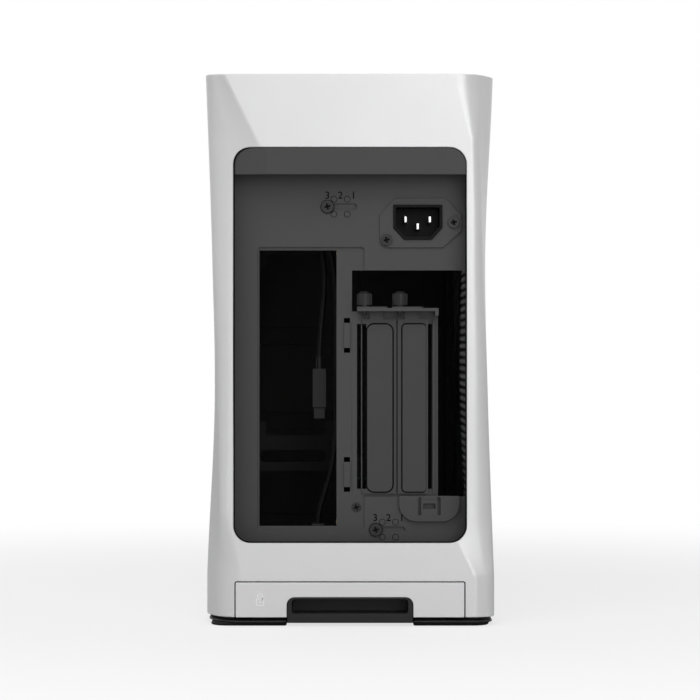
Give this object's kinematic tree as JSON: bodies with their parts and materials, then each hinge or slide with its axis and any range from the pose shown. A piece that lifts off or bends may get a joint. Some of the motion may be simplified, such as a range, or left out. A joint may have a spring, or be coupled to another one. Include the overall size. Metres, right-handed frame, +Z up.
{
  "type": "computer case",
  "caption": "Small-form dual-chamber computer case with a waisted one-piece metal shell that lifts off, a recessed rear panel, a sliding spine and a pull-out filter drawer.",
  "frame": {"origin": "on the floor, under the middle of the base", "axes": "+Y from the rear with the connectors to the front, +X to the right as seen from the rear, +Z up"},
  "size_m": [0.165, 0.366, 0.314],
  "materials": {
    "shell_aluminium": "bead blasted, clear anodised",
    "shell_inner": "matt",
    "brow_plastic": "satin",
    "walnut": "oiled",
    "black_steel": "fine texture",
    "grey_steel": "fine texture",
    "panel_steel": "fine texture",
    "cover_steel": "satin",
    "black_plastic": "matt",
    "inlet_plastic": "satin",
    "retainer_plastic": "satin",
    "plug_plastic": "satin",
    "lead_jacket": "matt",
    "foot_rubber": "matt",
    "black_screws": "black oxide",
    "bright_metal": "bright",
    "clip_steel": "satin",
    "standoff_brass": "plain",
    "circuit_board": "satin",
    "filter_net": "fine nylon net"
  },
  "bodies": {
    "chassis": {"base_tray": "black_plastic", "rubber_feet": "foot_rubber", "base_frame": "grey_steel", "floor_plate": "grey_steel", "rear_panel": "panel_steel", "front_plate": "grey_steel", "corner_posts": "grey_steel", "fan_deck": "grey_steel", "psu_bracket": "grey_steel", "fan_frame_1": "black_plastic", "fan_frame_2": "black_plastic", "mains_inlet": "inlet_plastic", "inlet_flange": "inlet_plastic", "inlet_pins": "bright_metal", "inlet_screws": "black_screws", "front_io_strip": "shell_aluminium", "io_board": "circuit_board", "usb_c_port": "bright_metal", "usb_a_ports": "bright_metal", "audio_jack": "black_plastic", "power_switch": "black_plastic", "cable_clip": "clip_steel", "usb_lead": "lead_jacket", "usb_plug": "plug_plastic", "panel_lead": "lead_jacket", "panel_plug": "plug_plastic"},
    "shell": {"outer_shell": "shell_aluminium", "rear_brow": "brow_plastic", "shell_ledge": "shell_inner"},
    "top_cover": {"top_panel": "walnut", "top_panel_frame": "black_steel", "top_panel_studs": "bright_metal"},
    "spine": {"spine_plate": "grey_steel", "io_flange": "panel_steel", "slot_frame": "panel_steel", "slot_cover_1": "cover_steel", "slot_cover_2": "cover_steel", "board_standoffs": "standoff_brass", "position_screws": "black_screws", "riser_board": "circuit_board", "riser_socket": "black_plastic"},
    "retainer": {"slot_retainer": "retainer_plastic"},
    "thumbscrew_left": {"thumbscrew_1": "black_screws"},
    "thumbscrew_right": {"thumbscrew_2": "black_screws"},
    "drawer": {"drawer_front": "shell_aluminium", "grip_liner": "black_plastic", "filter_frame": "black_plastic", "filter_mesh": "filter_net", "latch_rods": "bright_metal"},
    "rotor_rear": {"fan_rotor_1": "black_plastic"},
    "rotor_front": {"fan_rotor_2": "black_plastic"},
    "button": {"power_button": "shell_aluminium"}
  },
  "joints": [
    {"name": "shell_lift", "type": "slide", "parent": "chassis", "child": "shell", "axis": [0, 0, 1], "range_m": [0, 0.3]},
    {"name": "top_cover_lift", "type": "slide", "parent": "shell", "child": "top_cover", "axis": [0, 0, 1], "range_m": [0, 0.02]},
    {"name": "spine_shift", "type": "slide", "parent": "chassis", "child": "spine", "axis": [1, 0, 0], "range_m": [0, 0.0152]},
    {"name": "retainer_pull", "type": "slide", "parent": "chassis", "child": "retainer", "axis": [0, -1, 0], "range_m": [0, 0.012]},
    {"name": "thumbscrew_left_turn", "type": "hinge", "parent": "spine", "child": "thumbscrew_left", "pos_m": [0.00826, -0.16755, 0.186], "axis": [0, 0, 1], "continuous": true},
    {"name": "thumbscrew_right_turn", "type": "hinge", "parent": "spine", "child": "thumbscrew_right", "pos_m": [0.02858, -0.16755, 0.186], "axis": [0, 0, 1], "continuous": true},
    {"name": "drawer_slide", "type": "slide", "parent": "chassis", "child": "drawer", "axis": [0, -1, 0], "range_m": [0, 0.28]},
    {"name": "rotor_rear_spin", "type": "hinge", "parent": "chassis", "child": "rotor_rear", "pos_m": [0, -0.062, 0.275], "axis": [0, 0, 1], "continuous": true},
    {"name": "rotor_front_spin", "type": "hinge", "parent": "chassis", "child": "rotor_front", "pos_m": [0, 0.062, 0.275], "axis": [0, 0, 1], "continuous": true},
    {"name": "button_press", "type": "slide", "parent": "chassis", "child": "button", "axis": [0, -1, 0], "range_m": [0, 0.0015], "stiffness_N_per_m": 300}
  ]
}
